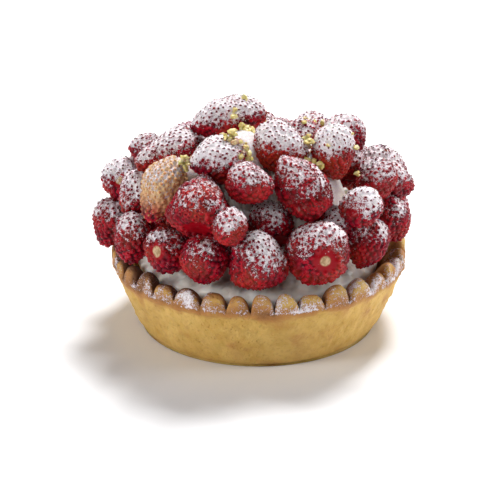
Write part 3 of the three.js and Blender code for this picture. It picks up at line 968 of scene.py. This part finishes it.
# %% Where the crumbs come to rest
# Each pinch of crumbs: how far to the right of the middle and behind it, how many crumbs, and how far they
# spread. Distances are in millimetres.
SPRINKLED = [
    (-3.2, -7.0, 24, 2.6),
    (-4.6, -12.0, 12, 2.6),
    (-7.3, -18.0, 14, 2.0),
    (-4.4, -18.8, 12, 2.0),
    (-18.6, -18.6, 14, 1.8),
    (-16.5, -10.5, 5, 1.2),
    (12.6, -1.0, 12, 2.0),
    (12.6, -12.0, 14, 2.4),
    (13.4, -15.9, 8, 1.6),
    (16.5, -17.0, 9, 1.5),
    (24.5, -12.0, 4, 1.8),
    (-4.3, -1.0, 1, 0.1),
    (-6.0, 9.0, 16, 4.0),
    (13.0, 10.0, 12, 4.5),
    (-16.0, 14.0, 9, 4.0),
    (4.0, 22.0, 8, 4.0),
]
STRAYS = 30
# A crumb comes to rest no further out than this, because it would roll over the rim. A place beyond it
# counts as higher than any other, so that the lowest place near by is never there.
CRUMB_REACH = 38.5 * MM
TOO_FAR = 1.0
rng = np.random.default_rng(17)
pinches = [np.array([x, y]) + rng.normal(0, spread / 2, (count, 2)) for x, y, count, spread in SPRINKLED]
stray = np.stack([rng.uniform(-31, 31, 300), rng.uniform(-31, 31, 300)], 1)
in_a_hollow = drop(stray * MM)[1] > 0.8 * MM
stray = stray[(np.hypot(*stray.T) < 32) & (stray[:, 1] > -12) & in_a_hollow][:STRAYS]
wanted = np.concatenate([*pinches, stray]) * MM
crumb_size = rng.uniform(0.45, 1.15, len(wanted)) * MM
crumb_places = []
for place, size in zip(wanted, crumb_size):
    nearby = place + rng.normal(0, 0.5 * MM, (8, 2))
    height = np.where(np.hypot(*nearby.T) < CRUMB_REACH, drop(nearby)[0], TOO_FAR)
    lowest = np.argmin(height)
    rest = nearby[lowest]
    crumb_places.append([*rest, height[lowest] + 0.3 * size])
    i, j = ((rest + HALF_SPAN) / CELL).astype(int)
    under_crumb = height_map[i - 1 : i + 2, j - 1 : j + 2]
    np.maximum(under_crumb, height[lowest] + 0.8 * size, out=under_crumb)
crumb_places = np.array(crumb_places)
print("highest crumb in mm:", round(crumb_places[:, 2].max() / MM, 1))

# %% Finish of the nuts
nut_finish, tree, shader = new_finish(
    "chopped pistachio", Subsurface_Weight=0.15, Subsurface_Scale=0.8 * MM
)
green = blend_colours(tree, field(tree, "tone"), (0.47, 0.40, 0.075, 1), (0.78, 0.63, 0.23, 1))
skin = blend_colours(tree, stretch(tree, field(tree, "tone"), 0.8, 0.95), green, (0.36, 0.15, 0.10, 1))
marbling = stretch(tree, grain(tree, 0.8 * MM, 2.0), 0.4, 0.7)
marbled = blend_colours(tree, marbling, skin, (0.72, 0.62, 0.32, 1))
cover, sugar = sugared(tree, field(tree, "powder"))
tree.links.new(blend_colours(tree, cover, marbled, sugar), shader.inputs["Base Color"])
tree.links.new(stretch(tree, cover, 0, 1, 0.5, 0.9), shader.inputs["Roughness"])
raise_surface(tree, shader, grain(tree, 0.4 * MM, 3.0), 0.08 * MM)
print("nodes in the finish of the nuts:", len(tree.nodes))

# %% Crumbs
spin = rng.normal(size=(len(crumb_places), 3)) * (0.5, 0.5, 1) + (0, 0, 0.9)
spin /= np.linalg.norm(spin, axis=1, keepdims=True)
lump, lump_faces = icosahedron()
turns = upright(spin, rng.normal(size=spin.shape))
lump_size = crumb_size[:, None] * (1.15, 0.85, 0.6)
points, triangles = scatter(lump, lump_faces, crumb_places, turns, lump_size, 0.28, 6)
fields = {"tone": rng.uniform(0, 1, len(crumb_places)), "powder": rng.uniform(0, 0.45, len(crumb_places))}
nut_fields = {k: np.repeat(v, len(lump)) for k, v in fields.items()}
nuts = make_piece("pistachio_crumbs", points, np.zeros((0, 4), int), triangles, nut_finish, nut_fields)
nuts.data.polygons.foreach_set("use_smooth", np.zeros(len(triangles), bool))
print("pistachio crumbs:", len(crumb_places))

# %% [markdown]
# ## Grains of sugar
# Close up, powdered sugar is a fine crust of clumps. The finishes paint the thin cover, and these small
# eight-sided grains give it thickness along the tops of the berries, where it lies deepest. A particle
# system could spread them, but a random choice among the points of the berries, weighted by their sugar,
# puts them where the cover is thickest.

# %% Sugar grains
GRAINS = 15000
rng = np.random.default_rng(23)
weight = np.concatenate([np.clip(w - 0.45, 0, 1) for w in heap_powder])
chosen = rng.choice(len(weight), GRAINS, replace=False, p=weight / weight.sum())
lifted = np.concatenate(heap_normals)[chosen] * 0.03 * MM
grain_places = everything[chosen] + lifted + rng.normal(0, 0.08 * MM, (GRAINS, 3))
octahedron = np.array([(1, 0, 0), (-1, 0, 0), (0, 1, 0), (0, -1, 0), (0, 0, 1), (0, 0, -1)], float)
octahedron_faces = np.array([
    (0, 2, 4), (2, 1, 4), (1, 3, 4), (3, 0, 4), (2, 0, 5), (1, 2, 5), (3, 1, 5), (0, 3, 5),
])
spin = rng.normal(size=(GRAINS, 3))
spin /= np.linalg.norm(spin, axis=1, keepdims=True)
grain_size = rng.uniform(0.06, 0.17, (GRAINS, 1)) * MM * (1, 1, 0.8)
turns = upright(spin, rng.normal(size=spin.shape))
points, triangles = scatter(octahedron, octahedron_faces, grain_places, turns, grain_size, 0.3, 7)
sugar_finish, tree, shader = new_finish("sugar grain", Subsurface_Weight=0.3, Subsurface_Scale=0.4 * MM)
sugar_white = blend_colours(tree, field(tree, "tone"), (0.80, 0.75, 0.77, 1), (0.95, 0.93, 0.94, 1))
tree.links.new(sugar_white, shader.inputs["Base Color"])
tree.links.new(stretch(tree, grain(tree, 0.2 * MM), 0.3, 0.7, 0.7, 0.95), shader.inputs["Roughness"])
grain_fields = {"tone": np.repeat(rng.uniform(0, 1, GRAINS), len(octahedron))}
make_piece("sugar_grains", points, np.zeros((0, 4), int), triangles, sugar_finish, grain_fields)
print("sugar grains:", GRAINS, "- triangles:", len(triangles))

# %% [markdown]
# ## The table
# The tart stands on plain white paper, wide enough to reach past the camera's view, so that no horizon
# shows.

# %% Table
paper, tree, shader = new_finish("white paper", Roughness=0.8)
fibre = stretch(tree, grain(tree, 30 * MM, 2.0), 0.3, 0.7)
white_paper = blend_colours(tree, fibre, (0.86, 0.86, 0.87, 1), (0.89, 0.89, 0.90, 1))
tree.links.new(white_paper, shader.inputs["Base Color"])
TABLE_LINES = 13
BELOW_THE_TART = 0.05 * MM
span = np.linspace(-3, 3, TABLE_LINES)
x, y = np.meshgrid(span, span, indexing="ij")
table_points = np.stack([x.ravel(), y.ravel(), np.full(x.size, cad_box[0].z - BELOW_THE_TART)], 1)
squares = np.arange(TABLE_LINES - 1)
corner = (squares[:, None] * TABLE_LINES + squares).ravel()
table_quads = np.stack([corner, corner + TABLE_LINES, corner + TABLE_LINES + 1, corner + 1], 1)
table = make_piece("table", table_points, table_quads, np.zeros((0, 3), int), paper)
table.parent = None
print("table squares:", len(table_quads))
